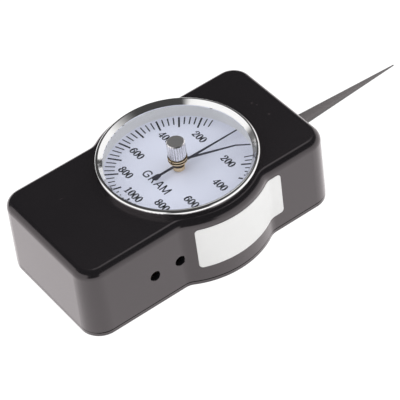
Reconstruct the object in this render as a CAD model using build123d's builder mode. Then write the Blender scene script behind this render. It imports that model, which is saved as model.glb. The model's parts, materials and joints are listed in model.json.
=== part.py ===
"""Two-way dial force gauge with a swinging probe, a pointer and a resettable drag pointer.

Frame: +X along the case towards the probe, +Z up, origin on the resting face under the dial axis.
The dial axis is vertical through the origin. Lengths are millimetres, angles degrees.
"""
import os
from math import acos, asin, cos, degrees, pi, radians, sin, tan

from build123d import *

# ---- Case ----
case_rear = 56.7                # dial axis to the rear end, at the foot
case_front = 45.2               # dial axis to the probe end
case_width = 52.5
case_height = 28.9              # resting face to the flat top
case_corner = 7.8               # upright corners
boss_radius = 31.7              # round part of the case under the dial
boss_blend = 5.2                # hollow blend between the round part and the flat sides
top_edge = 2.8                  # rounding of the top edge
wall_draft = 1.2                # degrees that the walls lean inwards
seam_bevel = 0.25               # on both sides of the joint with the cover
wall = 2.2
roof = 2.4
cover_thickness = 1.5
cover_inset = 0.1               # the cover stays this far inside the case's outline
side_hole_radius = 1.9
side_hole_bevel = 0.12
side_hole_places = (-30.2, -20.0)   # along X: span adjuster, zero adjuster

# ---- Dial, bezel and crystal ----
dial_depth = 5.2                # flat top down to the dial's face
dial_thickness = 0.8
dial_hole_radius = 1.3
dial_window_radius = 24.0       # opening in the ledge that carries the dial
ledge_thickness = 1.0
bezel_radius = 28.0
bezel_rise = 2.6                # above the flat top
bezel_seat_radius = 27.2        # bore of the case
bezel_skirt = 0.65
bezel_rim = 1.2                 # width of the rim's rolled crest
bezel_rim_round = 1.0
bezel_lip_radius = 25.4
bezel_lip_drop = 1.6            # crest down to the lip's upper edge
bezel_lip_thickness = 0.4
crystal_thickness = 1.2
ring_thickness = 0.45           # pale ring between dial and crystal
fit_gap = 0.05                  # radial clearance of parts that sit or turn in one another

# ---- Reset knob and drag pointer ----
bush_flange_radius = 3.4
bush_flange_thickness = 0.45
bush_body_radius = 1.95
washer_radius = 2.6
washer_thickness = 0.2
knob_lift = 0.05                # air under the knob
knob_radius = 3.2
knob_height = 6.5
knob_chamfer = 0.35
knob_neck = 0.5                 # plain foot below the grip
knob_grooves = 30
groove_depth = 0.18
groove_margin = 0.7             # plain band above the grip
spindle_radius = 0.95
spindle_grip = 3.0              # length held in the knob
drag_hub_radius = 1.9
drag_flange = 0.5
drag_gap = 0.5                  # air between the drag pointer and the crystal's bush
drag_angle = -21.0              # where the drag pointer was left
drag_reach = 25.5
drag_bend_radius = 20.3         # distance out where the end turns down
drag_pass_gap = 0.12            # air left over the main pointer

# ---- Main pointer ----
blade_thickness = 0.15
blade_root_width = 1.1
blade_tip_width = 0.45
pointer_reach = 24.9
pointer_lift = 1.85             # dial face up to the main pointer's blade
hub_radius = 2.1
hub_lift = 0.25                 # air between dial and hub
eye_radius = 1.7                # round end of both pointers
tail_reach = 7.7
tail_width = 0.9
weight_length = 2.9             # leaf-shaped counterweight at the tail's end
weight_width = 2.0

# ---- Movement frame ----
plate_thickness = 1.2
ledge_air = 0.7                 # dial ledge down to the top plate
gear_space = 2.4                # between top and middle plate
base_plate_thickness = 1.4
plate_rear = 9.0                # middle and top plates, behind the dial axis
plate_front = 41.4
plate_width = 30.0
plate_corner = 3.0
pillar_flats = 4.0              # across the flats of the six-sided pillars, riveted flush
pillar_inset_x = 3.6
pillar_inset_y = 3.0
base_rear = 44.0
base_shoulder = 33.0            # wide part of the base plate ends here
base_width = 44.0
base_nose_width = 26.0
post_radius = 3.2               # posts of the case that the frame and the cover are screwed to
post_rear = -40.0
post_front = 29.0
post_y = 18.5
post_depth = 8.0                # tapped depth
pivot_floor = 0.3               # left under a pivot's blind hole

# ---- Screws ----
cover_screw_radius = 1.25
cover_head_radius = 2.35
cover_screw_length = 9.0
recess_width = 0.5
recess_depth = 0.5

# ---- Gear train ----
module = 0.4
pinion_teeth = 12
wheel_teeth = 144               # teeth of the whole circle that the sector is cut from
sector_teeth = 17
pressure = radians(20)
pinion_addendum = 1.0           # in modules
wheel_addendum = 0.7
tip_clearance = 0.25
backlash = 0.05                 # each tooth is thinner by this
flank_steps = 3
pinion_width = 1.3
sector_thickness = 1.0
sector_rim = 2.6
sector_hub_radius = 3.0
sector_air = 0.3                # sector down from the top plate
spoke_angle = 9.0

# ---- Lever and probe ----
lever_swing = 15.0              # each way
shaft_radius = 1.5
journal_radius = 1.0
lever_hub_radius = 5.0
lever_hub_height = 5.2
lever_air = 0.45                # lever hub down from the middle plate
arm_radius = 2.6
arm_reach = 49.5                # dial axis to the end of the arm
socket_depth = 6.0
stud_radius = 1.25
probe_reach = 94.9              # dial axis to the probe's tip
probe_root_radius = 2.33
probe_tip_radius = 0.22
slot_air = 0.9                  # round the arm in the case's end
tail_end = 14.5                 # dial axis to the end of the lever's tail
tail_bar_width = 4.6
fork_slot = 5.5
stop_radius = 1.0
stop_distance = 8.0             # lever shaft to the stop pins
stop_gap = 0.15
shaft_air = 1.2                 # round the shaft in the middle plate

# ---- Springs and adjusters ----
leaf_thickness = 0.5
leaf_height = 4.6
leaf_rear = 34.0
leaf_overlap = 4.5              # length of leaf inside the lever's fork
leaf_play = 0.1
block_rear = 37.5
block_front = 14.5
block_left = 4.5                # +Y side
block_right = 12.0              # -Y side
block_air = 0.4                 # below the middle plate
block_corner = 1.2
block_relief = 1.2              # half width of the slot round the zero adjuster
block_grip = 7.0                # length of leaf that the block holds tight
block_spigot_radius = 1.5       # two spigots riveted into the base plate
block_spigot_inset = 4.0
adjuster_radius = 1.25
adjuster_head_radius = 1.7
adjuster_head = 1.7
adjuster_recess = 1.2           # head behind the inside of the wall
adjuster_tip_gap = 0.05
nut_flats = 5.0
nut_thickness = 1.8
arbor_radius = 0.8
arbor_pivot_radius = 0.55
rivet_height = 0.3              # end of the arbor above the pointer
collet_radius = 1.5
collet_height = 0.6
collet_lift = 0.25              # above the middle plate
hairspring_thickness = 0.15
hairspring_height = 0.4
hairspring_spacing = 1.6
hairspring_turns = 3
stud_block = 1.6                # square post that holds the hairspring's outer end

# ---- Label ----
label_left = -14.3
label_right = 23.1
label_low = 7.7
label_height = 17.3
label_corner = 1.4
label_thickness = 0.15
label_gap = 0.02                # layer of glue

# ---- Levels and places worked out from the sizes above ----
case_length = case_rear + case_front
case_middle = (case_front - case_rear) / 2
roof_under = case_height - roof
dial_top = case_height - dial_depth
dial_bottom = dial_top - dial_thickness
ledge_bottom = dial_bottom - ledge_thickness
bezel_top = case_height + bezel_rise
lip_top = bezel_top - bezel_lip_drop
crystal_top = lip_top - bezel_lip_thickness
crystal_bottom = crystal_top - crystal_thickness
skirt_radius = bezel_seat_radius - fit_gap
recess_radius = skirt_radius - bezel_skirt
well_radius = boss_radius - wall

top_plate_top = ledge_bottom - ledge_air
top_plate_bottom = top_plate_top - plate_thickness
middle_plate_top = top_plate_bottom - gear_space
middle_plate_bottom = middle_plate_top - plate_thickness
base_plate_bottom = cover_thickness
base_plate_top = base_plate_bottom + base_plate_thickness
lever_plane = middle_plate_bottom - lever_air - lever_hub_height / 2

pinion_pitch = module * pinion_teeth / 2
wheel_pitch = module * wheel_teeth / 2
pivot_x = pinion_pitch + wheel_pitch
pinion_tip = pinion_pitch + module * pinion_addendum
pinion_root = pinion_pitch - module * (wheel_addendum + tip_clearance)
wheel_tip = wheel_pitch + module * wheel_addendum
wheel_root = wheel_pitch - module * (pinion_addendum + tip_clearance)
sector_top = top_plate_bottom - sector_air
sector_bottom = sector_top - sector_thickness
pinion_bottom = (sector_top + sector_bottom - pinion_width) / 2

blade_bottom = dial_top + pointer_lift - blade_thickness / 2
blade_top = blade_bottom + blade_thickness
bush_bottom = crystal_bottom - bush_flange_thickness
bush_top = crystal_top + bush_flange_thickness
knob_bottom = bush_top + washer_thickness + knob_lift
knob_top = knob_bottom + knob_height
drag_blade_top = bush_bottom - drag_gap
drag_blade_bottom = drag_blade_top - blade_thickness
drag_hub_bottom = drag_blade_bottom - drag_flange

post_places = [(x, side * post_y) for x in (post_rear, post_front) for side in (-1, 1)]
pillar_places = [
    (x, side * (plate_width / 2 - pillar_inset_y))
    for x in (pillar_inset_x - plate_rear, plate_front - pillar_inset_x)
    for side in (-1, 1)
]
spigot_places = [(block_spigot_inset - block_rear, 0), (-block_front - block_spigot_inset, 0)]
pivot = (pivot_x, 0, 0)
swing = radians(lever_swing)
slot_half = (case_front - pivot_x) * tan(swing) + (arm_radius + slot_air) / cos(swing)
stop_angle = lever_swing + degrees(asin((arm_radius + stop_radius + stop_gap) / stop_distance))

os.makedirs("parts", exist_ok=True)


def finish(piece, name):
    """Name a finished piece and write its file."""
    piece.part.label = name
    export_step(piece.part, f"parts/{name}.step")


def case_plan(height, inset=0.0):
    """Sketch the case's outline at a height, moved inwards by inset."""
    with BuildSketch(Plane.XY.offset(height)) as plan:
        with Locations((case_middle, 0)):
            RectangleRounded(case_length - 2 * inset, case_width - 2 * inset, case_corner - inset)
        Circle(boss_radius - inset)
        waist = [corner for corner in plan.vertices() if abs(corner.X) < boss_radius]
        fillet(waist, boss_blend + inset)
    return plan.sketch


def case_body(inset=0.0):
    """Add the case's solid shape with its leaning walls, moved inwards by inset."""
    extrude(case_plan(cover_thickness, inset), amount=case_height - cover_thickness, taper=wall_draft)


def turned(outline, place=(0, 0, 0), along=(0, 0, 1), mode=Mode.ADD):
    """Revolve an outline of (radius, distance) points about a line through place."""
    side = Vector(0, 1, 0) if along == (1, 0, 0) else Vector(1, 0, 0)
    with BuildSketch(Plane(origin=place, x_dir=side, z_dir=side.cross(Vector(*along)))) as section:
        with BuildLine():
            Polyline(*outline, close=True)
        make_face()
    revolve(section.sketch, axis=Axis(place, along), mode=mode)


def rod(radius, low, high):
    """Outline of a plain rod between two distances along its axis."""
    return [(0, low), (radius, low), (radius, high), (0, high)]


def tube(inner, outer, low, high):
    """Outline of a plain tube between two distances along its axis."""
    return [(inner, low), (outer, low), (outer, high), (inner, high)]


def rods(radius, low, high, places, mode=Mode.ADD):
    """Add upright round rods between two heights."""
    with BuildSketch(Plane.XY.offset(low)) as circles:
        with Locations(*places):
            Circle(radius)
    extrude(circles.sketch, amount=high - low, mode=mode)


def drill(radius, low, high, places):
    """Cut upright round holes between two heights."""
    rods(radius, low, high, places, Mode.SUBTRACT)


def polar(radius, angle):
    """Point at a radius and an angle in radians."""
    return (radius * cos(angle), radius * sin(angle))


def involute(angle):
    return tan(angle) - angle


def half_tooth(radius, pitch_radius, teeth):
    """Half the angle that a tooth fills at a radius."""
    lean = acos(min(1.0, pitch_radius * cos(pressure) / radius))
    half = pi / (2 * teeth) - backlash / (2 * pitch_radius)
    return half + involute(pressure) - involute(lean)


def tooth(middle, teeth, pitch_radius, root, tip):
    """Points of one tooth, up one flank and down the other."""
    radii = [root + (tip - root) * step / flank_steps for step in range(flank_steps + 1)]
    rising = [polar(r, middle - half_tooth(r, pitch_radius, teeth)) for r in radii]
    falling = [polar(r, middle + half_tooth(r, pitch_radius, teeth)) for r in reversed(radii)]
    return rising + falling


# ======== Case ========

with BuildPart() as housing:
    case_body()
    fillet(housing.faces().sort_by(Axis.Z)[-1].edges(), top_edge)
    chamfer(housing.faces().sort_by(Axis.Z)[0].edges(), seam_bevel)
    extrude(case_plan(cover_thickness, wall), amount=roof_under - cover_thickness, mode=Mode.SUBTRACT)
    # Well that holds the bezel, with a ledge for the dial.
    with BuildSketch(Plane.XY.offset(ledge_bottom)):
        Circle(well_radius)
    extrude(amount=roof_under - ledge_bottom)
    drill(bezel_seat_radius, dial_bottom, case_height, [(0, 0)])
    drill(dial_window_radius, ledge_bottom, dial_bottom, [(0, 0)])
    # Posts that the base plate is clamped to by the cover's screws.
    rods(post_radius, base_plate_top, roof_under, post_places)
    drill(cover_screw_radius + fit_gap, base_plate_top, base_plate_top + post_depth, post_places)
    # Slot that the lever swings in, and two holes over the adjusting screws.
    with BuildSketch(Plane.YZ.offset(case_front - 2 * wall)):
        with Locations((0, lever_plane)):
            SlotOverall(2 * slot_half, 2 * (arm_radius + slot_air))
    extrude(amount=3 * wall, mode=Mode.SUBTRACT)
    with BuildSketch(Plane.XZ.offset(case_width / 2 - 2 * wall)):
        with Locations(*[(x, lever_plane) for x in side_hole_places]):
            Circle(side_hole_radius)
    extrude(amount=3 * wall, mode=Mode.SUBTRACT)
    wall_face = -case_width / 2 + tan(radians(wall_draft)) * (lever_plane - cover_thickness)
    for x in side_hole_places:
        mouth = [
            (0, -side_hole_bevel),
            (side_hole_radius + 2 * side_hole_bevel, -side_hole_bevel),
            (side_hole_radius, side_hole_bevel),
            (0, side_hole_bevel),
        ]
        turned(mouth, (x, wall_face, lever_plane), (0, 1, 0), Mode.SUBTRACT)
finish(housing, "housing")

with BuildPart() as back_cover:
    extrude(case_plan(0, cover_inset), amount=cover_thickness)
    chamfer(back_cover.faces().sort_by(Axis.Z)[-1].edges(), seam_bevel)
    for x, y in post_places:
        with Locations(Plane(origin=(x, y, 0), z_dir=(0, 0, -1))):
            CounterSinkHole(cover_screw_radius + fit_gap, cover_head_radius + fit_gap, cover_thickness)
finish(back_cover, "back_cover")

with BuildPart() as cover_screws:
    head_depth = cover_head_radius - cover_screw_radius
    for x, y in post_places:
        turned(
            [
                (0, 0),
                (cover_head_radius, 0),
                (cover_screw_radius, head_depth),
                (cover_screw_radius, cover_screw_length),
                (0, cover_screw_length),
            ],
            (x, y, 0),
        )
        with BuildSketch(Plane.XY):
            with Locations((x, y)):
                Rectangle(2 * cover_head_radius, recess_width)
        extrude(amount=recess_depth, mode=Mode.SUBTRACT)
finish(cover_screws, "cover_screws")

with BuildPart() as side_label:
    case_body(-label_gap - label_thickness)
    with BuildPart(mode=Mode.SUBTRACT):
        case_body(-label_gap)
    with BuildSketch(Plane.XZ):
        with Locations(((label_left + label_right) / 2, label_low + label_height / 2)):
            RectangleRounded(label_right - label_left, label_height, label_corner)
    extrude(amount=2 * boss_radius, mode=Mode.INTERSECT)
finish(side_label, "side_label")

# ======== Dial, bezel and crystal ========

with BuildPart() as bezel:
    with BuildSketch(Plane.XZ) as bezel_section:
        with BuildLine():
            Polyline(
                (recess_radius, dial_top),
                (skirt_radius, dial_top),
                (skirt_radius, case_height),
                (bezel_radius, case_height),
                (bezel_radius, bezel_top),
                (bezel_radius - bezel_rim, bezel_top),
                (bezel_lip_radius, lip_top),
                (bezel_lip_radius, crystal_top),
                (recess_radius, crystal_top),
                close=True,
            )
        make_face()
        fillet(bezel_section.vertices().group_by(Axis.Y)[-1].sort_by(Axis.X)[-1], bezel_rim_round)
    revolve(axis=Axis.Z)
finish(bezel, "bezel")

with BuildPart() as crystal:
    turned(tube(bush_body_radius + fit_gap, recess_radius - fit_gap, crystal_bottom, crystal_top))
finish(crystal, "crystal")

with BuildPart() as dial_ring:
    ring_outer = recess_radius - fit_gap
    turned(tube(ring_outer - ring_thickness, ring_outer, dial_top, crystal_bottom))
finish(dial_ring, "dial_ring")

with BuildPart() as dial_plate:
    turned(tube(dial_hole_radius, bezel_seat_radius - fit_gap, dial_bottom, dial_top))
finish(dial_plate, "dial_plate")

with BuildPart() as crystal_bush:
    turned(
        [
            (spindle_radius + fit_gap, bush_bottom),
            (bush_flange_radius, bush_bottom),
            (bush_flange_radius, crystal_bottom),
            (bush_body_radius, crystal_bottom),
            (bush_body_radius, crystal_top),
            (bush_flange_radius, crystal_top),
            (bush_flange_radius, bush_top),
            (spindle_radius + fit_gap, bush_top),
        ]
    )
finish(crystal_bush, "crystal_bush")

# ======== Reset knob and drag pointer ========

with BuildPart() as friction_washer:
    turned(tube(spindle_radius + 2 * fit_gap, washer_radius, bush_top, bush_top + washer_thickness))
finish(friction_washer, "friction_washer")

with BuildPart() as reset_knob:
    grip_bottom = knob_bottom + knob_neck
    grip_top = knob_top - groove_margin
    foot_radius = knob_radius - groove_depth
    rods(foot_radius, knob_bottom, grip_bottom, [(0, 0)])
    # Straight grip of sharp ridges, then a plain head.
    ridges = [
        polar(radius, pi * (2 * number + step) / knob_grooves)
        for number in range(knob_grooves)
        for step, radius in enumerate((knob_radius, foot_radius))
    ]
    with BuildSketch(Plane.XY.offset(grip_bottom)):
        with BuildLine():
            Polyline(*ridges, close=True)
        make_face()
    extrude(amount=grip_top - grip_bottom)
    turned(
        [
            (0, grip_top),
            (knob_radius, grip_top),
            (knob_radius, knob_top - knob_chamfer),
            (knob_radius - knob_chamfer, knob_top),
            (0, knob_top),
        ]
    )
    drill(spindle_radius, knob_bottom, knob_bottom + spindle_grip, [(0, 0)])
finish(reset_knob, "reset_knob")

with BuildPart() as drag_spindle:
    spindle_top = knob_bottom + spindle_grip
    turned(
        [
            (0, drag_hub_bottom),
            (drag_hub_radius, drag_hub_bottom),
            (drag_hub_radius, drag_blade_bottom),
            (spindle_radius, drag_blade_bottom),
            (spindle_radius, spindle_top),
            (0, spindle_top),
        ]
    )
finish(drag_spindle, "drag_spindle")

with BuildPart() as drag_pointer:
    # Side view: level out to the bend, then down to clear the main pointer's blade.
    heading = Vector(1, 0, 0).rotate(Axis.Z, drag_angle)
    upright = Plane(origin=(0, 0, 0), x_dir=heading, z_dir=heading.cross(Vector(0, 0, 1)))
    end_bottom = blade_top + drag_pass_gap
    with BuildSketch(upright):
        with BuildLine():
            Polyline(
                (-eye_radius, drag_blade_bottom),
                (drag_bend_radius, drag_blade_bottom),
                (drag_reach, end_bottom),
                (drag_reach, end_bottom + blade_thickness),
                (drag_bend_radius, drag_blade_top),
                (-eye_radius, drag_blade_top),
                close=True,
            )
        make_face()
    extrude(amount=eye_radius, both=True)
    # Plan view: a slim taper from an eye round the hub.
    with BuildSketch(Plane(origin=(0, 0, end_bottom), x_dir=heading, z_dir=(0, 0, 1))):
        with BuildLine():
            Polyline(
                (0, -blade_root_width / 2),
                (drag_reach, -blade_tip_width / 2),
                (drag_reach, blade_tip_width / 2),
                (0, blade_root_width / 2),
                close=True,
            )
        make_face()
        Circle(eye_radius)
        Circle(spindle_radius, mode=Mode.SUBTRACT)
    extrude(amount=drag_blade_top - end_bottom, mode=Mode.INTERSECT)
finish(drag_pointer, "drag_pointer")

# ======== Main pointer ========

with BuildPart() as main_pointer:
    with BuildSketch(Plane.XY.offset(blade_bottom)):
        with BuildLine():
            Polyline(
                (0, -blade_root_width / 2),
                (pointer_reach, -blade_tip_width / 2),
                (pointer_reach, blade_tip_width / 2),
                (0, blade_root_width / 2),
                (-tail_reach, tail_width / 2),
                (-tail_reach, -tail_width / 2),
                close=True,
            )
        make_face()
        with BuildLine():
            weight_start = (-tail_reach + tail_width / 2, 0)
            weight_end = (-tail_reach - weight_length, 0)
            weight_middle = -tail_reach - weight_length / 3
            ThreePointArc(weight_start, (weight_middle, weight_width / 2), weight_end)
            ThreePointArc(weight_end, (weight_middle, -weight_width / 2), weight_start)
        make_face()
        Circle(eye_radius)
        Circle(arbor_pivot_radius, mode=Mode.SUBTRACT)
    extrude(amount=blade_thickness)
finish(main_pointer, "main_pointer")

with BuildPart() as pointer_hub:
    turned(tube(arbor_pivot_radius, hub_radius, dial_top + hub_lift, blade_bottom))
finish(pointer_hub, "pointer_hub")

with BuildPart() as pointer_arbor:
    arbor_shoulder = middle_plate_top + fit_gap
    turned(
        [
            (0, middle_plate_bottom + pivot_floor + fit_gap),
            (arbor_pivot_radius, middle_plate_bottom + pivot_floor + fit_gap),
            (arbor_pivot_radius, arbor_shoulder),
            (arbor_radius, arbor_shoulder),
            (arbor_radius, top_plate_bottom - fit_gap),
            (arbor_pivot_radius, top_plate_bottom - fit_gap),
            (arbor_pivot_radius, blade_top + rivet_height),
            (0, blade_top + rivet_height),
        ]
    )
finish(pointer_arbor, "pointer_arbor")

with BuildPart() as pinion:
    pinion_outline = []
    for number in range(pinion_teeth):
        middle = 2 * pi * (number + 0.5) / pinion_teeth
        pinion_outline += tooth(middle, pinion_teeth, pinion_pitch, pinion_root, pinion_tip)
    with BuildSketch(Plane.XY.offset(pinion_bottom)):
        with BuildLine():
            Polyline(*pinion_outline, close=True)
        make_face()
        Circle(arbor_radius, mode=Mode.SUBTRACT)
    extrude(amount=pinion_width)
finish(pinion, "pinion")

with BuildPart() as hairspring_collet:
    collet_bottom = middle_plate_top + collet_lift
    turned(tube(arbor_radius, collet_radius, collet_bottom, collet_bottom + collet_height))
finish(hairspring_collet, "hairspring_collet")

with BuildPart() as hairspring:
    # A spiral of half circles about two centres, half a pitch apart.
    coil_start = collet_radius + hairspring_thickness / 2
    coil_end = coil_start + hairspring_turns * hairspring_spacing
    with BuildSketch(Plane.XY.offset(collet_bottom + (collet_height - hairspring_height) / 2)):
        with BuildLine():
            for half in range(2 * hairspring_turns):
                odd = half % 2
                radius = coil_start + half * hairspring_spacing / 2
                CenterArc((odd * hairspring_spacing / 2, 0), radius, 180 * odd, 180)
        trace(line_width=hairspring_thickness)
    extrude(amount=hairspring_height)
finish(hairspring, "hairspring")

with BuildPart() as hairspring_stud:
    with BuildSketch(Plane.XY.offset(middle_plate_top)):
        with Locations((coil_end + (hairspring_thickness + stud_block) / 2, 0)):
            Rectangle(stud_block, stud_block)
    extrude(amount=collet_lift + collet_height)
finish(hairspring_stud, "hairspring_stud")

# ======== Lever, probe and sector ========

with BuildPart() as lever_shaft:
    turned(
        [
            (0, base_plate_bottom + pivot_floor + fit_gap),
            (journal_radius, base_plate_bottom + pivot_floor + fit_gap),
            (journal_radius, base_plate_top + fit_gap),
            (shaft_radius, base_plate_top + fit_gap),
            (shaft_radius, top_plate_bottom - fit_gap),
            (journal_radius, top_plate_bottom - fit_gap),
            (journal_radius, top_plate_top),
            (0, top_plate_top),
        ],
        pivot,
    )
finish(lever_shaft, "lever_shaft")

with BuildPart() as lever_arm:
    hub_low = lever_plane - lever_hub_height / 2
    hub_high = lever_plane + lever_hub_height / 2
    rods(lever_hub_radius, hub_low, hub_high, [(pivot_x, 0)])
    turned(rod(arm_radius, pivot_x, arm_reach), (0, 0, lever_plane), (1, 0, 0))
    # Tail with a fork for the measuring spring.
    with BuildSketch(Plane.XY.offset(hub_low)):
        with BuildLine():
            Polyline(
                (pivot_x, -lever_hub_radius * 0.9),
                (pivot_x, lever_hub_radius * 0.9),
                (tail_end, tail_bar_width / 2),
                (tail_end, -tail_bar_width / 2),
                close=True,
            )
        make_face()
    extrude(amount=lever_hub_height)
    with BuildSketch(Plane.XY.offset(hub_low)):
        with Locations((tail_end + fork_slot / 2, 0)):
            Rectangle(fork_slot, leaf_thickness + 2 * leaf_play)
    extrude(amount=lever_hub_height, mode=Mode.SUBTRACT)
    drill(shaft_radius, hub_low, hub_high, [(pivot_x, 0)])
    socket = rod(stud_radius, arm_reach - socket_depth, arm_reach)
    turned(socket, (0, 0, lever_plane), (1, 0, 0), Mode.SUBTRACT)
finish(lever_arm, "lever_arm")

with BuildPart() as probe:
    turned(
        [
            (0, arm_reach - socket_depth + fit_gap),
            (stud_radius, arm_reach - socket_depth + fit_gap),
            (stud_radius, arm_reach),
            (probe_root_radius, arm_reach),
            (probe_tip_radius, probe_reach),
            (0, probe_reach),
        ],
        (0, 0, lever_plane),
        (1, 0, 0),
    )
finish(probe, "probe")

with BuildPart() as sector_gear:
    tooth_angle = 2 * pi / wheel_teeth
    sector_outline = []
    for number in range(sector_teeth):
        middle = pi + (number - (sector_teeth - 1) / 2) * tooth_angle
        sector_outline += tooth(middle, wheel_teeth, wheel_pitch, wheel_root, wheel_tip)
    half_fan = sector_teeth * tooth_angle / 2
    rim_radius = wheel_root - sector_rim
    with BuildSketch(Plane(origin=(pivot_x, 0, sector_bottom))):
        with BuildLine():
            Polyline(
                (0, 0),
                polar(wheel_root, pi - half_fan),
                *sector_outline,
                polar(wheel_root, pi + half_fan),
                close=True,
            )
        make_face()
        # Window between two spokes.
        with BuildLine():
            spoke = radians(spoke_angle) / 2
            window_root = 2 * sector_hub_radius
            window_angle = half_fan - spoke
            corners = [
                polar(window_root, pi - window_angle),
                polar(rim_radius, pi - window_angle),
                polar(rim_radius, pi),
                polar(rim_radius, pi + window_angle),
                polar(window_root, pi + window_angle),
                polar(window_root, pi),
            ]
            Line(corners[0], corners[1])
            ThreePointArc(corners[1], corners[2], corners[3])
            Line(corners[3], corners[4])
            ThreePointArc(corners[4], corners[5], corners[0])
        make_face(mode=Mode.SUBTRACT)
        Circle(sector_hub_radius + 1)
        Circle(shaft_radius, mode=Mode.SUBTRACT)
    extrude(amount=sector_thickness)
finish(sector_gear, "sector_gear")

with BuildPart() as sector_hub:
    turned(tube(shaft_radius, sector_hub_radius, middle_plate_top + sector_air, sector_bottom), pivot)
finish(sector_hub, "sector_hub")

# ======== Movement frame ========

with BuildPart() as base_plate:
    with BuildSketch(Plane.XY.offset(base_plate_bottom)) as base_sketch:
        with Locations(((base_shoulder - base_rear) / 2, 0)):
            Rectangle(base_shoulder + base_rear, base_width)
        with Locations((plate_front / 2, 0)):
            Rectangle(plate_front, base_nose_width)
        chamfer(base_sketch.vertices(), plate_corner)
        with Locations(*post_places):
            Circle(cover_screw_radius + fit_gap, mode=Mode.SUBTRACT)
        with Locations(*spigot_places):
            Circle(block_spigot_radius, mode=Mode.SUBTRACT)
        with Locations(*pillar_places):
            RegularPolygon(pillar_flats / 2, 6, major_radius=False, mode=Mode.SUBTRACT)
    extrude(amount=base_plate_thickness)
    drill(journal_radius + fit_gap, base_plate_bottom + pivot_floor, base_plate_top, [(pivot_x, 0)])
finish(base_plate, "base_plate")


def movement_plate(bottom, shaft_hole):
    """Sketch the middle or top plate, open for the pillars and the lever's shaft."""
    with BuildSketch(Plane.XY.offset(bottom)) as plan:
        with Locations(((plate_front - plate_rear) / 2, 0)):
            Rectangle(plate_front + plate_rear, plate_width)
        chamfer(plan.vertices(), plate_corner)
        with Locations(*pillar_places):
            RegularPolygon(pillar_flats / 2, 6, major_radius=False, mode=Mode.SUBTRACT)
        with Locations((pivot_x, 0)):
            Circle(shaft_hole, mode=Mode.SUBTRACT)
    return plan.sketch


with BuildPart() as middle_plate:
    extrude(movement_plate(middle_plate_bottom, shaft_radius + shaft_air), amount=plate_thickness)
    drill(arbor_pivot_radius + fit_gap, middle_plate_bottom + pivot_floor, middle_plate_top, [(0, 0)])
finish(middle_plate, "middle_plate")

with BuildPart() as top_plate:
    extrude(movement_plate(top_plate_bottom, journal_radius + fit_gap), amount=plate_thickness)
    drill(arbor_pivot_radius + fit_gap, top_plate_bottom, top_plate_top, [(0, 0)])
    # Sight window over the sector.
    with BuildSketch(Plane.XY.offset(top_plate_bottom)):
        with Locations((pivot_x / 2, 0)):
            Rectangle(pivot_x / 2, plate_width / 3)
    extrude(amount=plate_thickness, mode=Mode.SUBTRACT)
finish(top_plate, "top_plate")

with BuildPart() as pillars:
    with BuildSketch(Plane.XY.offset(base_plate_bottom)):
        with Locations(*pillar_places):
            RegularPolygon(pillar_flats / 2, 6, major_radius=False)
    extrude(amount=top_plate_top - base_plate_bottom)
finish(pillars, "pillars")

with BuildPart() as stop_pins:
    stop_places = [
        (
            pivot_x + stop_distance * cos(radians(side * stop_angle)),
            stop_distance * sin(radians(side * stop_angle)),
        )
        for side in (-1, 1)
    ]
    rods(stop_radius, base_plate_top, lever_plane + arm_radius / 2, stop_places)
finish(stop_pins, "stop_pins")

# ======== Measuring spring and its adjusters ========

with BuildPart() as measuring_spring:
    with BuildSketch(Plane.XY.offset(lever_plane - leaf_height / 2)):
        with BuildLine():
            leaf_front = tail_end + leaf_overlap
            Polyline(
                (-leaf_rear, -leaf_thickness / 2),
                (leaf_front, -leaf_thickness / 2),
                (leaf_front, leaf_thickness / 2),
                (-leaf_rear, leaf_thickness / 2),
                close=True,
            )
        make_face()
    extrude(amount=leaf_height)
finish(measuring_spring, "measuring_spring")

with BuildPart() as spring_block:
    block_top = middle_plate_bottom - block_air
    slot_low = lever_plane - leaf_height / 2
    with BuildSketch(Plane.XY.offset(base_plate_top)):
        with Locations(((-block_rear - block_front) / 2, (block_left - block_right) / 2)):
            RectangleRounded(block_rear - block_front, block_left + block_right, block_corner)
    extrude(amount=block_top - base_plate_top)
    with BuildSketch(Plane.XY.offset(slot_low)):
        with Locations((-(leaf_rear + block_front) / 2, 0)):
            Rectangle(leaf_rear - block_front, leaf_thickness)
        with Locations(((block_grip - leaf_rear - block_front) / 2, 0)):
            Rectangle(leaf_rear - block_grip - block_front, 2 * block_relief)
    extrude(amount=block_top - slot_low, mode=Mode.SUBTRACT)
    for x in side_hole_places:
        turned(rod(adjuster_radius + fit_gap, 0, block_right), (x, 0, lever_plane), (0, -1, 0), Mode.SUBTRACT)
    rods(block_spigot_radius, base_plate_bottom, base_plate_top, spigot_places)
finish(spring_block, "spring_block")


def adjusting_screw(x):
    """Slotted screw that lies along Y, its head just inside a side hole."""
    tip = leaf_thickness / 2 + adjuster_tip_gap
    head_end = case_width / 2 - wall - adjuster_recess
    turned(
        [
            (0, tip),
            (adjuster_radius, tip),
            (adjuster_radius, head_end - adjuster_head),
            (adjuster_head_radius, head_end - adjuster_head),
            (adjuster_head_radius, head_end),
            (0, head_end),
        ],
        (x, 0, lever_plane),
        (0, -1, 0),
    )
    with BuildSketch(Plane.XZ.offset(head_end - recess_depth)) as recess:
        with Locations((x, lever_plane)):
            Rectangle(2 * adjuster_head_radius, recess_width)
    extrude(recess.sketch, amount=recess_depth, mode=Mode.SUBTRACT)


with BuildPart() as span_screw:
    adjusting_screw(side_hole_places[0])
finish(span_screw, "span_screw")

with BuildPart() as zero_screw:
    adjusting_screw(side_hole_places[1])
finish(zero_screw, "zero_screw")

with BuildPart() as lock_nuts:
    with BuildSketch(Plane.XZ.offset(block_right)):
        with Locations(*[(x, lever_plane) for x in side_hole_places]):
            RegularPolygon(nut_flats / 2, 6, major_radius=False)
            Circle(adjuster_radius + fit_gap, mode=Mode.SUBTRACT)
    extrude(amount=nut_thickness)
finish(lock_nuts, "lock_nuts")
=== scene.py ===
"""Studio view of a two-way dial force gauge: materials, dial print, floor, lights and camera."""

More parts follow.
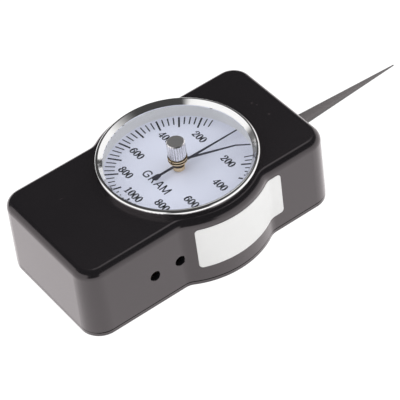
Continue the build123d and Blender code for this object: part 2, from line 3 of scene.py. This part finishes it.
import json
from math import cos, pi, radians, sin

import bmesh
import bpy
from mathutils import Matrix, Vector


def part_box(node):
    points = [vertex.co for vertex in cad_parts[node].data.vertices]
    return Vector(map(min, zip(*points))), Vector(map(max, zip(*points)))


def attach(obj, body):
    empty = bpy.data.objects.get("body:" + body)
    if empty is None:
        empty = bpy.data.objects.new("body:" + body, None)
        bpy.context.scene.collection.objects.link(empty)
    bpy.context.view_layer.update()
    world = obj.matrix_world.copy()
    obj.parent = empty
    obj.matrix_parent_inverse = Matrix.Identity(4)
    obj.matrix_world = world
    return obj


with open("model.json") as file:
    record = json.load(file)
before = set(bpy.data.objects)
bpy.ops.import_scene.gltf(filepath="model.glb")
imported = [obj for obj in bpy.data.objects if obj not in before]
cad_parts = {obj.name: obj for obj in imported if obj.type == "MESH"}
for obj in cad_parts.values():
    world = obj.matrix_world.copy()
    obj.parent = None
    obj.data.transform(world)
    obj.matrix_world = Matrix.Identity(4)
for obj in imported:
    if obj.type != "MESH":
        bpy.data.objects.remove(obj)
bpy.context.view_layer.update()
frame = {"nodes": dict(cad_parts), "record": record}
nodes = frame["nodes"]
MM = 0.001

# ---- Camera, fitted to the case's outline ----
CAMERA_AZIMUTH = -0.55336       # radians, from looking along +Y
CAMERA_ELEVATION = 0.78334
CAMERA_ROLL = -0.12907
CAMERA_TARGET = Vector((8.949, 3.756, 0.0)) * MM
CAMERA_DISTANCE = 703.81 * MM
CAMERA_LENS = 181.49            # mm on a 36 mm sensor

# ---- Dial print, in mm on the dial's face; text reads upwards along +X ----
DEGREES_PER_GRAM = 0.18
SCALE_START = 150
SCALE_END = 1000
SCALE_STEP = 25
LABELLED_STEP = 100
TICK_OUTER = 25.8
TICK_INNER = 22.2
LONG_TICK_INNER = 20.8
TICK_WIDTH = 0.44
LONG_TICK_WIDTH = 0.64
TICK_OFFSET = (-0.18, -0.58)    # the scale sits a little off the dial's centre
PRINT_THICKNESS = 0.02
NUMERAL_HEIGHT = 2.9
NUMERAL_ADVANCE = 2.03
NUMERAL_PLACES = {              # distance forward of the dial's centre, then left of it for each copy
    "200": (14.4, (7.6, -8.6)),
    "400": (5.55, (15.2, -15.8)),
    "600": (-6.4, (15.5, -15.7)),
    "800": (-14.7, (10.5, -10.5)),
    "1000": (-18.9, (0.1,)),
}
UNIT_WORD = "GRAM"
UNIT_PLACE = (-9.6, -0.1)
UNIT_HEIGHT = 3.3
UNIT_LETTERS = (-5.05, -1.6, 1.75, 5.25)   # centres of its letters

# ---- Studio, in degrees round the object from +X towards +Y ----
WALL_RIGHT = (-27, 61, 6, 28, 9)   # azimuth, half width and its softness, top and its softness
WALL_LEFT = (168, 48, 8, 42, 5)
CEILING_LIGHT = (46, 58, 9, 6, 0.9) # azimuth, elevation, radius, softness and strength
ROOM_DIM = 0.055                    # the rest of the room in mirrors, where 1 is white
SKIRTING = (0.17, 20)               # strength at the foot of the room, and where it has faded
FILL_LIGHT = 0.78
FLOOR_HALF = 6.0                    # metres
FLOOR_DROP = 0.1                    # mm of air under the cover
FLOOR_SEEN = 0.9                    # share of the plain white that cameras and mirrors see; the rest is matt
FLOOR_WHITE = 1.15
SOFTBOX_DISTANCE = 0.85             # metres
SOFTBOXES = {                       # azimuth, elevation, width and height in metres, radiance
    "softbox_right": (-37, 34, 1.2, 0.50, 1.25),
    "softbox_left": (178, 36, 1.0, 0.34, 0.8),
    "softbox_rear": (114, 46, 0.80, 0.60, 0.9),
}

# ---- Wear, and the knob's painted flute shading ----
TOP_SCUFFS = (                      # place and radius in mm
    ((35.3, 4.6, 28.9), 0.8),
    ((36.1, 2.8, 28.9), 0.6),
    ((36.3, -3.7, 28.9), 0.8),
)
# number of painted light and dark stripes round the knob's sides, which stand in for the shading of flutes
KNOB_PAINTED_FLUTE_STRIPES = 22


# ======== Node helpers ========

class Shader:
    """A material's node tree with short ways to add nodes and links."""

    def __init__(self, name):
        self.material = bpy.data.materials.new(name)
        self.material.use_nodes = True
        self.tree = self.material.node_tree
        self.tree.nodes.clear()
        self.output = self.add("ShaderNodeOutputMaterial")
        self.place = self.add("ShaderNodeTexCoord").outputs["Object"]

    def add(self, kind, **sockets):
        node = self.tree.nodes.new(kind)
        for name, value in sockets.items():
            self.put(node.inputs[name.replace("_", " ")], value)
        return node

    def put(self, socket, value):
        if isinstance(value, bpy.types.NodeSocket):
            self.tree.links.new(value, socket)
        elif hasattr(socket.default_value, "__len__") and len(value) == 3 and len(socket.default_value) == 4:
            socket.default_value = (*value, 1.0)
        else:
            socket.default_value = value

    def noise(self, size_mm, detail=3.0, stretch=(1, 1, 1)):
        """Noise of about one feature per size_mm, stretched along the axes."""
        mapping = self.add("ShaderNodeMapping", Vector=self.place)
        mapping.inputs["Scale"].default_value = tuple(1 / s for s in stretch)
        return self.add(
            "ShaderNodeTexNoise", Vector=mapping.outputs[0], Scale=1 / (size_mm * MM), Detail=detail
        ).outputs["Fac"]

    def math(self, operation, first, second=0.0):
        node = self.add("ShaderNodeMath")
        node.operation = operation
        self.put(node.inputs[0], first)
        self.put(node.inputs[1], second)
        return node.outputs[0]

    def upward(self):
        """How far the surface faces up, from -1 to 1."""
        normal = self.add("ShaderNodeTexCoord").outputs["Normal"]
        return self.add("ShaderNodeSeparateXYZ", Vector=normal).outputs["Z"]

    def mix(self, factor, first, second):
        """Mix two shaders."""
        node = self.add("ShaderNodeMixShader", Fac=factor)
        self.put(node.inputs[1], first.outputs[0])
        self.put(node.inputs[2], second.outputs[0])
        return node

    def spread(self, value, low, high, start=0.0, end=1.0):
        """Map value from start..end to low..high."""
        ends = {"From_Min": start, "From_Max": end, "To_Min": low, "To_Max": high}
        return self.add("ShaderNodeMapRange", Value=value, **ends).outputs["Result"]

    def blend(self, factor, first, second):
        """Mix two colours."""
        node = self.add("ShaderNodeMix")
        node.data_type = "RGBA"
        self.put(node.inputs["Factor"], factor)
        self.put(node.inputs[6], first)
        self.put(node.inputs[7], second)
        return node.outputs[2]

    def bump(self, height, depth_mm):
        node = self.add("ShaderNodeBump", Height=height, Distance=depth_mm * MM, Strength=1.0)
        return node.outputs["Normal"]

    def principled(self, **sockets):
        node = self.add("ShaderNodeBsdfPrincipled", **sockets)
        self.put(self.output.inputs["Surface"], node.outputs[0])
        return node

    def rings(self, pitch_mm):
        """Fine turning lines round the Z axis."""
        node = self.add("ShaderNodeTexWave", Vector=self.place, Scale=1 / (pitch_mm * MM * 20))
        node.wave_type = "RINGS"
        node.rings_direction = "Z"
        node.inputs["Distortion"].default_value = 0.6
        node.inputs["Detail"].default_value = 1.0
        return node.outputs["Fac"]


# ======== Materials ========

def moulded_plastic():
    """Satin black plastic: fine moulded grain, slow drift in gloss, a few dull scuffs."""
    s = Shader("moulded_plastic")
    grain = s.noise(0.35, 4)
    drift = s.noise(22, 2)
    scuffs = s.spread(s.noise(2.4, 6, (3, 1, 1)), 0, 0.6, 0.70, 0.78)
    for place, radius in TOP_SCUFFS:
        gap = s.add("ShaderNodeVectorMath")
        gap.operation = "DISTANCE"
        s.put(gap.inputs[0], s.place)
        gap.inputs[1].default_value = tuple(v * MM for v in place)
        spot = s.spread(gap.outputs["Value"], 0.65, 0, 0.2 * radius * MM, radius * MM)
        scuffs = s.math("MAXIMUM", scuffs, spot)
    colour = s.blend(drift, (0.0068, 0.0074, 0.0086), (0.0092, 0.0098, 0.0112))
    colour = s.blend(scuffs, colour, (0.030, 0.029, 0.030))
    roughness = s.math("ADD", s.spread(drift, 0.20, 0.26), s.spread(scuffs, 0, 0.12))
    shell = s.principled(Base_Color=colour, Roughness=roughness, IOR=1.54, Normal=s.bump(grain, 0.003))
    shell.inputs["Coat Weight"].default_value = 1.0
    shell.inputs["Coat Roughness"].default_value = 0.14
    shell.inputs["Coat IOR"].default_value = 1.46
    shell.inputs["Coat Tint"].default_value = (1.0, 0.90, 0.925, 1.0)
    shell.inputs["Specular Tint"].default_value = (1.0, 0.90, 0.92, 1.0)
    return s.material


def chrome():
    """Bright plating with faint turning lines and a little haze."""
    s = Shader("bezel_chrome")
    lines = s.rings(0.12)
    haze = s.noise(6, 3)
    s.principled(
        Base_Color=s.blend(haze, (0.93, 0.92, 0.92), (0.97, 0.965, 0.965)),
        Metallic=1.0,
        Roughness=s.spread(haze, 0.06, 0.10),
        Normal=s.bump(lines, 0.0003),
    )
    return s.material


def clear_crystal():
    """Clear polished plate that lets lamp light through to the dial."""
    s = Shader("clear_crystal")
    haze = s.noise(5, 2)
    glass = s.add(
        "ShaderNodeBsdfPrincipled",
        Base_Color=(0.97, 0.985, 1.0),
        Roughness=s.spread(haze, 0.0, 0.015),
        IOR=1.49,
        Transmission_Weight=1.0,
    )
    clear = s.add("ShaderNodeBsdfTransparent", Color=(0.95, 0.965, 0.98))
    path = s.add("ShaderNodeLightPath")
    lit = s.math("MAXIMUM", path.outputs["Is Shadow Ray"], path.outputs["Is Diffuse Ray"])
    s.put(s.output.inputs["Surface"], s.mix(lit, glass, clear).outputs[0])
    return s.material


def dial_paint():
    """Pale blue-white enamel with a faint mottle."""
    s = Shader("dial_paint")
    mottle = s.noise(3.5, 4)
    fine = s.noise(0.25, 2)
    s.principled(
        Base_Color=s.blend(mottle, (0.83, 0.83, 0.94), (0.86, 0.86, 0.97)),
        Roughness=s.spread(mottle, 0.42, 0.5),
        Normal=s.bump(fine, 0.002),
    )
    return s.material


def print_ink():
    """Blue-black ink, slightly uneven."""
    s = Shader("print_ink")
    cover = s.noise(0.4, 3)
    s.principled(
        Base_Color=s.blend(cover, (0.006, 0.007, 0.014), (0.016, 0.017, 0.030)), Roughness=0.6
    )
    return s.material


def ring_plastic():
    """Light grey satin ring."""
    s = Shader("ring_plastic")
    fine = s.noise(0.3, 3)
    s.principled(
        Base_Color=s.blend(s.noise(8, 2), (0.79, 0.775, 0.765), (0.85, 0.835, 0.825)),
        Roughness=s.spread(fine, 0.4, 0.5),
        Normal=s.bump(fine, 0.003),
    )
    return s.material


def enamel_black():
    """Matt black enamel of the pointers."""
    s = Shader("pointer_enamel")
    fine = s.noise(0.15, 3)
    s.principled(
        Base_Color=s.blend(fine, (0.026, 0.025, 0.038), (0.040, 0.038, 0.054)),
        Roughness=s.spread(fine, 0.42, 0.55),
        Normal=s.bump(fine, 0.003),
    )
    return s.material


def turned_metal(name, dark, light, roughness):
    """Lathe-turned metal with fine rings round an upright axis."""
    s = Shader(name)
    lines = s.rings(0.12)
    tarnish = s.noise(1.6, 4)
    s.principled(
        Base_Color=s.blend(tarnish, dark, light),
        Metallic=1.0,
        Roughness=s.spread(tarnish, roughness - 0.05, roughness + 0.07),
        Normal=s.bump(lines, 0.002),
    )
    return s.material


def brushed_metal(name, dark, light, roughness):
    """Metal with a straight brushed or drawn grain along X."""
    s = Shader(name)
    grain = s.noise(0.12, 3, (14, 1, 1))
    patches = s.noise(5, 3)
    s.principled(
        Base_Color=s.blend(patches, dark, light),
        Metallic=1.0,
        Roughness=s.spread(grain, roughness - 0.06, roughness + 0.08),
        Normal=s.bump(grain, 0.003),
    )
    return s.material


def probe_steel():
    """Ground and oiled steel, fine lines round the taper, with painted shade underneath: the colour darkens where
    the surface faces down.
    """
    s = Shader("probe_steel")
    turned = s.noise(0.12, 3, (1, 20, 20))
    stain = s.noise(7, 3, (3, 1, 1))
    # painted shade: a lighter colour facing up and a darker one facing down stand in for the shade under the probe
    probe_painted_light_top = s.blend(stain, (0.185, 0.170, 0.172), (0.225, 0.208, 0.208))
    probe_painted_shade_under = s.blend(stain, (0.080, 0.073, 0.075), (0.100, 0.092, 0.094))
    s.principled(
        Base_Color=s.blend(s.spread(s.upward(), 0, 1, -0.6, 0.95), probe_painted_shade_under, probe_painted_light_top),
        Metallic=0.35,
        Roughness=s.spread(turned, 0.46, 0.56),
        Normal=s.bump(turned, 0.002),
    )
    return s.material


def knob_steel():
    """Bright steel: smooth sides with fine painted light and dark flute stripes (painted shade and highlight, no
    fluted shape), and a duller, faced top.
    """
    s = Shader("knob_steel")
    split = s.add("ShaderNodeSeparateXYZ", Vector=s.place)
    # painted shade and highlight: stripes of light and dark colour round the sides stand in for flutes catching the
    # light
    angle = s.math("ARCTAN2", split.outputs["Y"], split.outputs["X"])
    painted_flute_shading = s.math("SINE", s.math("MULTIPLY", angle, KNOB_PAINTED_FLUTE_STRIPES))
    top = s.spread(s.upward(), 0, 1, 0.90, 0.97)
    wear = s.noise(0.5, 4)
    sides = s.blend(s.spread(painted_flute_shading, 0, 1, -0.6, 0.6), (0.74, 0.72, 0.74), (0.96, 0.94, 0.95))
    s.principled(
        Base_Color=s.blend(top, sides, s.blend(wear, (0.70, 0.69, 0.69), (0.84, 0.83, 0.83))),
        Metallic=1.0,
        Roughness=s.spread(top, 0.26, 0.46),
        Normal=s.bump(s.noise(0.2, 3), 0.002),
    )
    return s.material


def label_paper():
    """Blank white sticker with faint paper fibre."""
    s = Shader("label_paper")
    fibre = s.noise(0.3, 5, (3, 1, 1))
    s.principled(
        Base_Color=s.blend(s.noise(7, 2), (0.86, 0.857, 0.85), (0.90, 0.897, 0.89)),
        Roughness=s.spread(fibre, 0.45, 0.55),
        Normal=s.bump(fibre, 0.004),
    )
    return s.material


def dress_cad():
    """Give every CAD node its material."""
    steel = ((0.36, 0.36, 0.37), (0.46, 0.46, 0.47))
    brass = ((0.52, 0.38, 0.17), (0.66, 0.50, 0.25))
    bright_brass = ((0.77, 0.57, 0.32), (0.91, 0.72, 0.47))
    finishes = {
        "black_plastic": moulded_plastic(),
        "chrome_bezel": chrome(),
        "crystal_clear": clear_crystal(),
        "dial_white": dial_paint(),
        "ring_grey": ring_plastic(),
        "pointer_black": enamel_black(),
        "brass": turned_metal("turned_brass", *bright_brass, 0.11),
        "knob_steel": knob_steel(),
        "steel": brushed_metal("ground_steel", *steel, 0.34),
        "probe_steel": probe_steel(),
        "spring_steel": brushed_metal("spring_steel", (0.16, 0.18, 0.24), (0.24, 0.26, 0.32), 0.32),
        "plate_brass": brushed_metal("plate_brass", *brass, 0.34),
        "block_aluminium": brushed_metal("block_aluminium", (0.56, 0.57, 0.58), (0.66, 0.67, 0.68), 0.38),
        "label_paper": label_paper(),
        "screw_black": turned_metal("blackened_steel", (0.04, 0.04, 0.045), (0.07, 0.07, 0.075), 0.4),
        "gear_steel": brushed_metal("gear_steel", *steel, 0.28),
    }
    for part in frame["record"]["subparts"]:
        piece = nodes[part["node"]]
        piece.data.materials.clear()
        piece.data.materials.append(finishes[part["material_slot"]])


# ======== Dial print ========

def ellipse(centre, radii, steps=28):
    """Points of an ellipse."""
    return [
        (centre[0] + radii[0] * cos(2 * pi * k / steps), centre[1] + radii[1] * sin(2 * pi * k / steps))
        for k in range(steps)
    ]


class Ink:
    """Flat shapes of one print, gathered in a mesh; across and up are in mm on the dial."""

    def __init__(self):
        self.mesh = bmesh.new()

    def face(self, points):
        self.mesh.faces.new([self.mesh.verts.new((u, v, 0)) for u, v in points])

    def strip(self, left, right, closed=False):
        """Quads between two rows of points."""
        one = [self.mesh.verts.new((u, v, 0)) for u, v in left]
        two = [self.mesh.verts.new((u, v, 0)) for u, v in right]
        last = len(one) if closed else len(one) - 1
        for k in range(last):
            n = (k + 1) % len(one)
            self.mesh.faces.new((one[k], one[n], two[n], two[k]))

    def ring(self, centre, outer, inner):
        self.strip(ellipse(centre, inner), ellipse(centre, outer), closed=True)

    def dot(self, centre, radius):
        self.face(ellipse(centre, (radius, radius), 16))

    def stroke(self, path, widths):
        """A smooth stroke through path whose width changes from point to point."""
        points, sizes = smooth(path, widths)
        left, right = [], []
        for k, (point, size) in enumerate(zip(points, sizes)):
            ahead = points[min(k + 1, len(points) - 1)] - points[max(k - 1, 0)]
            side = Vector((-ahead.y, ahead.x)).normalized() * size / 2
            left.append(point + side)
            right.append(point - side)
        self.strip(right, left)

    def bar(self, low, high):
        self.face([low, (high[0], low[1]), high, (low[0], high[1])])

    def add(self, other, matrix):
        """Copy another print in, placed by a matrix."""
        copy = bpy.data.meshes.new("copy")
        other.mesh.to_mesh(copy)
        copy.transform(matrix)
        self.mesh.from_mesh(copy)
        bpy.data.meshes.remove(copy)


def smooth(path, widths, steps=6):
    """Catmull-Rom points through a path, with its widths."""
    nodes_ = [Vector(p) for p in path]
    points, sizes = [], []
    for k in range(len(nodes_) - 1):
        a, b, c, d = (nodes_[min(max(k + i, 0), len(nodes_) - 1)] for i in (-1, 0, 1, 2))
        for step in range(steps):
            t = step / steps
            points.append(
                0.5 * (2 * b + (c - a) * t + (2 * a - 5 * b + 4 * c - d) * t**2 + (3 * b - a - 3 * c + d) * t**3)
            )
            sizes.append(widths[k] + (widths[k + 1] - widths[k]) * t)
    return points + [nodes_[-1]], sizes + [widths[-1]]


def numeral(digit):
    """A roman numeral one unit high, centred across, standing on zero."""
    ink = Ink()
    if digit == "0":
        ink.ring((0, 0.5), (0.35, 0.52), (0.11, 0.41))
    elif digit == "1":
        ink.bar((-0.11, 0.03), (0.11, 0.98))
        ink.stroke([(-0.22, 0.80), (-0.12, 0.86), (-0.05, 0.96)], [0.07, 0.10, 0.13])
        ink.bar((-0.25, 0), (0.25, 0.085))
    elif digit == "2":
        ink.dot((-0.20, 0.73), 0.12)
        ink.stroke(
            [(-0.24, 0.76), (-0.17, 0.90), (0.01, 0.96), (0.19, 0.85), (0.20, 0.66), (0.02, 0.40), (-0.24, 0.11)],
            [0.09, 0.11, 0.10, 0.18, 0.21, 0.15, 0.10],
        )
        ink.stroke([(-0.28, 0.08), (-0.10, 0.10), (0.14, 0.06), (0.28, 0.21)], [0.14, 0.18, 0.16, 0.07])
    elif digit == "4":
        ink.bar((0.02, 0.03), (0.22, 0.99))
        ink.stroke([(0.14, 0.97), (-0.31, 0.28)], [0.10, 0.09])
        ink.bar((-0.35, 0.21), (0.35, 0.32))
        ink.bar((-0.08, 0), (0.32, 0.085))
    elif digit == "6":
        ink.ring((0.01, 0.31), (0.34, 0.34), (0.11, 0.23))
        ink.stroke([(-0.215, 0.33), (-0.20, 0.58), (-0.07, 0.85), (0.14, 0.96)], [0.23, 0.23, 0.19, 0.12])
        ink.stroke([(0.08, 0.955), (0.20, 0.92), (0.25, 0.84)], [0.09, 0.09, 0.07])
        ink.dot((0.20, 0.80), 0.10)
    elif digit == "8":
        ink.ring((0, 0.75), (0.30, 0.28), (0.095, 0.165))
        ink.ring((0, 0.28), (0.35, 0.31), (0.115, 0.185))
    return ink


def letter(name):
    """A plain capital one unit high, centred across, standing on zero."""
    ink = Ink()
    thick = 0.15
    edge = thick / 2
    if name == "G":
        bow = [(0.35, 0.74), (0.24, 0.89), (0.02, 0.935), (-0.22, 0.86), (-0.355, 0.66), (-0.37, 0.46)]
        bow += [(-0.32, 0.24), (-0.19, 0.09), (0.03, edge), (0.25, 0.11), (0.355, 0.25), (0.36, 0.42)]
        ink.stroke(bow, [thick] * len(bow))
        ink.bar((0.03, 0.40), (0.425, 0.52))
    elif name == "R":
        ink.bar((-0.36, 0), (-0.36 + thick, 1))
        bowl = [(-0.34, 1 - edge), (0.04, 1 - edge), (0.22, 0.90), (0.29, 0.745), (0.22, 0.58), (0.04, 0.50)]
        ink.stroke(bowl + [(-0.34, 0.49)], [thick] * 7)
        ink.stroke([(0.02, 0.50), (0.33, 0)], [thick, thick])
    elif name == "A":
        ink.stroke([(-0.39, 0), (-0.02, 1)], [thick, thick])
        ink.stroke([(0.02, 1), (0.39, 0)], [thick, thick])
        ink.bar((-0.25, 0.28), (0.25, 0.40))
    elif name == "M":
        for side in (-1, 1):
            ink.bar((side * 0.42 - edge, 0), (side * 0.42 + edge, 1))
            ink.stroke([(side * 0.40, 1), (side * 0.01, 0.08)], [thick, thick])
    return ink


def on_dial(forward, left):
    """Matrix from print coordinates to the dial's face, centred forward and left of its centre."""
    turn = Matrix(((0, 1, 0), (-1, 0, 0), (0, 0, 1))).to_4x4()
    return Matrix.Translation((forward, left, 0)) @ turn


def lay_print(ink_mesh, name, ink):
    """Turn a flat print into a thin solid on the dial."""
    dial_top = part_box("dial_plate")[1].z
    ink_mesh.transform(Matrix.Translation((0, 0, dial_top)) @ Matrix.Scale(MM, 4))
    piece = bpy.data.objects.new(name, ink_mesh)
    bpy.context.scene.collection.objects.link(piece)
    solid = piece.modifiers.new("thickness", "SOLIDIFY")
    solid.thickness = PRINT_THICKNESS * MM
    solid.offset = 1.0
    piece.data.materials.append(ink)
    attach(piece, "case")


def as_mesh(ink, name):
    mesh = bpy.data.meshes.new(name)
    ink.mesh.normal_update()
    ink.mesh.to_mesh(mesh)
    return mesh


def dial_ticks(ink):
    marks = Ink()
    for gram in range(SCALE_START, SCALE_END + SCALE_STEP, SCALE_STEP):
        long = gram % LABELLED_STEP == 0
        inner = LONG_TICK_INNER if long else TICK_INNER
        width = LONG_TICK_WIDTH if long else TICK_WIDTH
        mark = Ink()
        mark.bar((inner, -width / 2), (TICK_OUTER, width / 2))
        sides = (1,) if gram == SCALE_END else (-1, 1)
        for side in sides:
            marks.add(mark, Matrix.Rotation(radians(side * gram * DEGREES_PER_GRAM), 4, "Z"))
    placed = Ink()
    placed.add(marks, Matrix.Translation((*TICK_OFFSET, 0)))
    lay_print(as_mesh(placed, "dial_ticks"), "dial_ticks", ink)


def dial_numerals(ink):
    words = Ink()
    for text, (forward, sides) in NUMERAL_PLACES.items():
        word = Ink()
        for k, digit in enumerate(text):
            across = (k - (len(text) - 1) / 2) * NUMERAL_ADVANCE
            word.add(
                numeral(digit),
                Matrix.Translation((across, -NUMERAL_HEIGHT / 2, 0)) @ Matrix.Scale(NUMERAL_HEIGHT, 4),
            )
        for left in sides:
            words.add(word, on_dial(forward, left))
    lay_print(as_mesh(words, "dial_numerals"), "dial_numerals", ink)


def dial_unit(ink):
    """The unit word in plain lettering."""
    word = Ink()
    for letter_name, across in zip(UNIT_WORD, UNIT_LETTERS):
        word.add(
            letter(letter_name),
            Matrix.Translation((across, -UNIT_HEIGHT / 2, 0)) @ Matrix.Scale(UNIT_HEIGHT, 4),
        )
    placed = Ink()
    placed.add(word, on_dial(*UNIT_PLACE))
    lay_print(as_mesh(placed, "dial_unit"), "dial_unit", ink)


# ======== Studio ========

def studio_floor():
    """White floor with a soft shadow; near white seen directly or mirrored, clear from below."""
    mesh = bpy.data.meshes.new("floor")
    signs = ((-1, -1), (1, -1), (1, 1), (-1, 1))
    mesh.from_pydata([(x * FLOOR_HALF, y * FLOOR_HALF, -FLOOR_DROP * MM) for x, y in signs], [], [(0, 1, 2, 3)])
    floor = bpy.data.objects.new("floor", mesh)
    bpy.context.scene.collection.objects.link(floor)
    s = Shader("floor_white")
    matt = s.add("ShaderNodeBsdfDiffuse", Color=(0.85, 0.85, 0.85))
    white = s.add("ShaderNodeEmission", Color=(1.0, 1.0, 1.0), Strength=FLOOR_WHITE)
    path = s.add("ShaderNodeLightPath").outputs
    seen = s.math("MAXIMUM", path["Is Camera Ray"], path["Is Glossy Ray"])
    seen = s.math("MAXIMUM", seen, path["Is Transmission Ray"])
    above = s.mix(s.math("MULTIPLY", seen, FLOOR_SEEN), matt, white)
    below = s.add("ShaderNodeBsdfTransparent")
    one_sided = s.mix(s.add("ShaderNodeNewGeometry").outputs["Backfacing"], above, below)
    s.put(s.output.inputs["Surface"], one_sided.outputs[0])
    mesh.materials.append(s.material)


class Room:
    """What metal and plastic mirror: a dim room with soft-edged white walls; masks over the direction."""

    def __init__(self, tree):
        self.tree = tree
        self.direction = tree.nodes.new("ShaderNodeTexCoord").outputs["Generated"]

    def math(self, operation, *values):
        node = self.tree.nodes.new("ShaderNodeMath")
        node.operation = operation
        for socket, value in zip(node.inputs, values):
            if isinstance(value, bpy.types.NodeSocket):
                self.tree.links.new(value, socket)
            else:
                socket.default_value = value
        return node.outputs[0]

    def soft_end(self, angle, end, softness):
        """1 below end degrees, 0 beyond it."""
        node = self.tree.nodes.new("ShaderNodeMapRange")
        node.interpolation_type = "SMOOTHSTEP"
        self.tree.links.new(angle, node.inputs["Value"])
        node.inputs["From Min"].default_value = radians(end - softness)
        node.inputs["From Max"].default_value = radians(end + softness)
        node.inputs["To Min"].default_value = 1.0
        node.inputs["To Max"].default_value = 0.0
        return node.outputs["Result"]

    def turned(self, azimuth):
        """X, Y and Z of the direction seen from azimuth."""
        node = self.tree.nodes.new("ShaderNodeVectorRotate")
        node.rotation_type = "Z_AXIS"
        node.inputs["Angle"].default_value = radians(-azimuth)
        split = self.tree.nodes.new("ShaderNodeSeparateXYZ")
        self.tree.links.new(self.direction, node.inputs["Vector"])
        self.tree.links.new(node.outputs[0], split.inputs[0])
        return split.outputs["X"], split.outputs["Y"], split.outputs["Z"]

    def wall(self, azimuth, half_width, side_softness, top, top_softness):
        x, y, z = self.turned(azimuth)
        sideways = self.math("ABSOLUTE", self.math("ARCTAN2", y, x))
        upwards = self.math("ARCSINE", z)
        return self.math(
            "MULTIPLY", self.soft_end(sideways, half_width, side_softness), self.soft_end(upwards, top, top_softness)
        )

    def lamp(self, azimuth, elevation, radius, softness, strength):
        x, _, z = self.turned(azimuth)
        e = radians(elevation)
        along = self.math("ADD", self.math("MULTIPLY", x, cos(e)), self.math("MULTIPLY", z, sin(e)))
        away = self.math("ARCCOSINE", self.math("MINIMUM", along, 1.0))
        return self.math("MULTIPLY", self.soft_end(away, radius, softness), strength)

    def foot(self, strength, faded):
        z = self.turned(0)[2]
        return self.math("MULTIPLY", self.soft_end(self.math("ARCSINE", z), faded / 2, faded / 2), strength)


def studio_world():
    """Plain fill light; white to the camera; in mirrors a dim room with a white wall on two sides."""
    world = bpy.data.worlds.new("studio")
    bpy.context.scene.world = world
    world.use_nodes = True
    tree = world.node_tree
    tree.nodes.clear()
    room = Room(tree)
    walls = room.math("ADD", room.wall(*WALL_RIGHT), room.wall(*WALL_LEFT))
    lamps = room.math("MAXIMUM", room.lamp(*CEILING_LIGHT), room.foot(*SKIRTING))
    seen = room.math("MAXIMUM", room.math("MAXIMUM", walls, lamps), ROOM_DIM)

    def background(strength):
        node = tree.nodes.new("ShaderNodeBackground")
        node.inputs["Color"].default_value = (1, 1, 1, 1)
        if isinstance(strength, bpy.types.NodeSocket):
            tree.links.new(strength, node.inputs["Strength"])
        else:
            node.inputs["Strength"].default_value = strength
        return node.outputs[0]

    path = tree.nodes.new("ShaderNodeLightPath")
    mirrored = tree.nodes.new("ShaderNodeMixShader")
    direct = tree.nodes.new("ShaderNodeMixShader")
    output = tree.nodes.new("ShaderNodeOutputWorld")
    tree.links.new(path.outputs["Is Glossy Ray"], mirrored.inputs[0])
    tree.links.new(background(FILL_LIGHT), mirrored.inputs[1])
    tree.links.new(background(seen), mirrored.inputs[2])
    tree.links.new(path.outputs["Is Camera Ray"], direct.inputs[0])
    tree.links.new(mirrored.outputs[0], direct.inputs[1])
    tree.links.new(background(1.0), direct.inputs[2])
    tree.links.new(direct.outputs[0], output.inputs[0])


def softbox(name, azimuth, elevation, width, height, radiance):
    """Area lamp that faces the object; azimuth is from +X towards +Y."""
    a, e = radians(azimuth), radians(elevation)
    lamp = bpy.data.lights.new(name, "AREA")
    lamp.shape = "RECTANGLE"
    lamp.size, lamp.size_y = width, height
    lamp.energy = radiance * pi * width * height
    holder = bpy.data.objects.new(name, lamp)
    towards = Vector((cos(a) * cos(e), sin(a) * cos(e), sin(e)))
    holder.location = towards * SOFTBOX_DISTANCE
    holder.rotation_mode = "QUATERNION"
    holder.rotation_quaternion = towards.to_track_quat("Z", "Y")
    holder.visible_camera = False
    holder.visible_glossy = False
    bpy.context.scene.collection.objects.link(holder)


def studio_camera():
    back = Vector(
        (
            sin(CAMERA_AZIMUTH) * cos(CAMERA_ELEVATION),
            -cos(CAMERA_AZIMUTH) * cos(CAMERA_ELEVATION),
            sin(CAMERA_ELEVATION),
        )
    )
    level = Vector((cos(CAMERA_AZIMUTH), sin(CAMERA_AZIMUTH), 0))
    rise = back.cross(level)
    right = level * cos(CAMERA_ROLL) + rise * sin(CAMERA_ROLL)
    up = rise * cos(CAMERA_ROLL) - level * sin(CAMERA_ROLL)
    lens = bpy.data.cameras.new("camera")
    lens.lens = CAMERA_LENS
    lens.sensor_width = 36
    lens.clip_start = 0.01
    lens.clip_end = 50
    lens.dof.use_dof = False
    camera = bpy.data.objects.new("camera", lens)
    camera.matrix_world = Matrix.Translation(CAMERA_TARGET + back * CAMERA_DISTANCE) @ Matrix(
        (right, up, back)
    ).transposed().to_4x4()
    bpy.context.scene.collection.objects.link(camera)
    bpy.context.scene.camera = camera


dress_cad()
ink = print_ink()
dial_ticks(ink)
dial_numerals(ink)
dial_unit(ink)
studio_floor()
studio_world()
for name, settings in SOFTBOXES.items():
    softbox(name, *settings)
studio_camera()

bpy.context.scene.view_settings.view_transform = "Standard"
